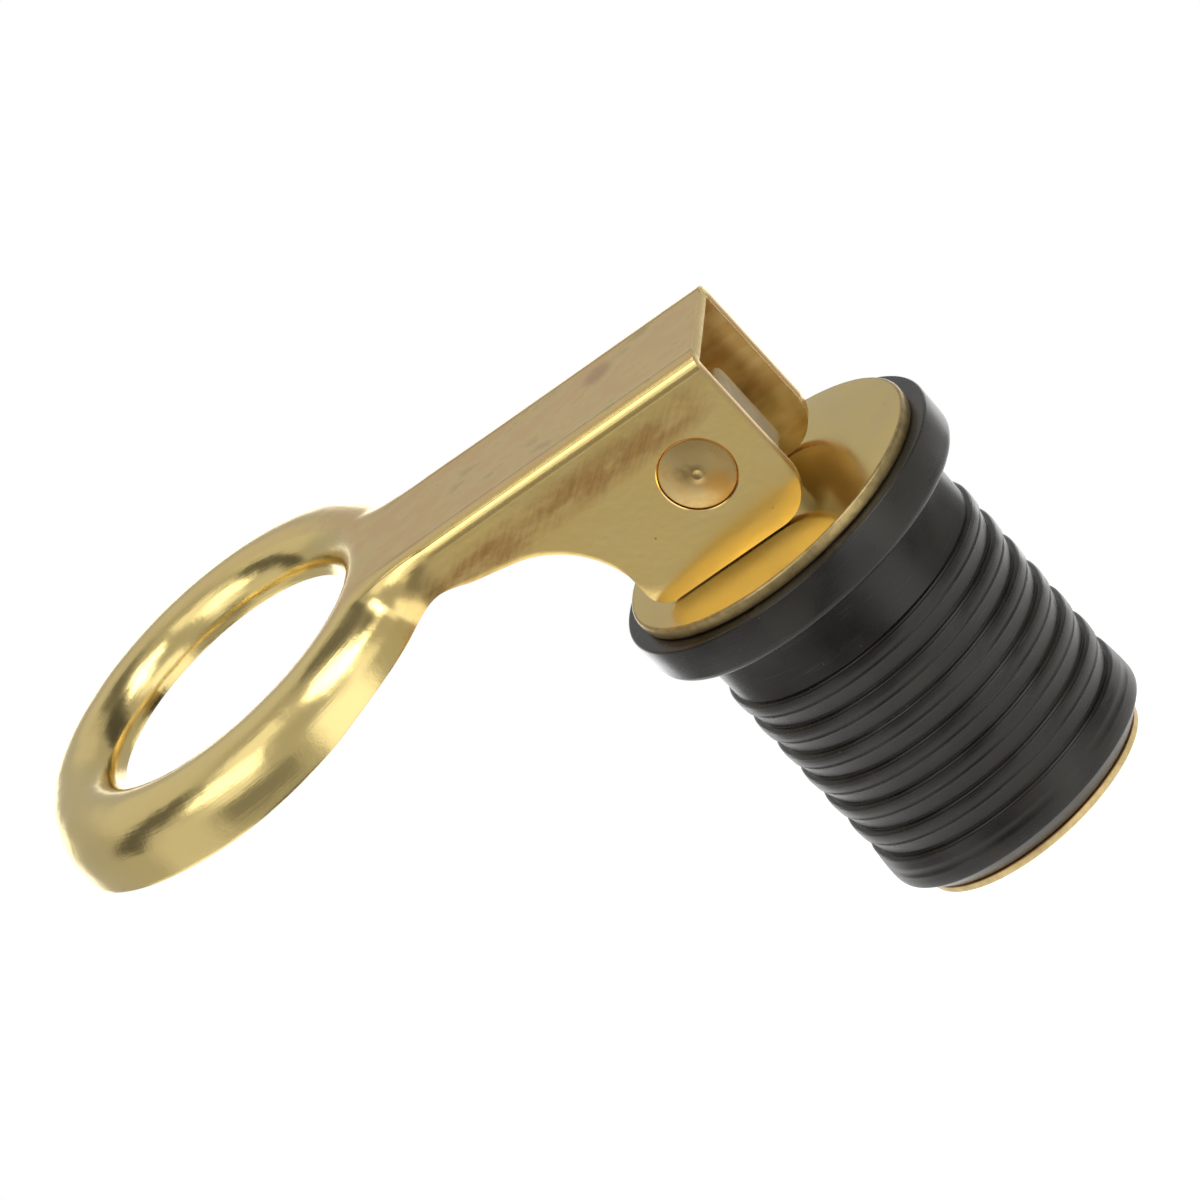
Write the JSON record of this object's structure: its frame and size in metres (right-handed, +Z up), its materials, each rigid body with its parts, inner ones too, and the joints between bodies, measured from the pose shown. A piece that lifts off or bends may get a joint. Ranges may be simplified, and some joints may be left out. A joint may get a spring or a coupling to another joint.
{
  "type": "drain plug",
  "caption": "Ribbed rubber drain plug between brass washers, with a folded brass cam lever on top that ends in a flat finger ring.",
  "frame": {"origin": "on the plug's axis at the flange's underside, which seats on the mouth of the drain tube", "axes": "+Z up along the plug's axis away from the tube; the lever's ring lies towards -X and its hinge pin runs along Y"},
  "size_m": [0.0793, 0.0396, 0.0532],
  "materials": {
    "rubber": "matt black moulded rubber",
    "brass": "bright pressed brass, slightly tarnished"
  },
  "bodies": {
    "stopper": {"rubber_stopper": "rubber", "top_washer": "brass"},
    "foot": {"bottom_washer": "brass"},
    "spindle": {"stem": "brass", "lock_nut": "brass"},
    "handle": {"lever": "brass", "pivot_rivet": "brass"}
  },
  "joints": [
    {"name": "foot_slide", "type": "slide", "parent": "stopper", "child": "foot", "axis": [0, 0, -1], "range_m": [0, 0.00085], "deforming": ["rubber_stopper"]},
    {"name": "stem_swivel", "type": "hinge", "parent": "foot", "child": "spindle", "pos_m": [0, 0, 0], "axis": [0, 0, 1], "continuous": true},
    {"name": "lever_hinge", "type": "hinge", "parent": "spindle", "child": "handle", "pos_m": [-0.00015, 0, 0.0129], "axis": [0, 1, 0], "range_deg": [0, 90]}
  ],
  "couplings": [
    {"joint": "foot_slide", "follows": "lever_hinge", "m_per_rad": 0.000541}
  ]
}
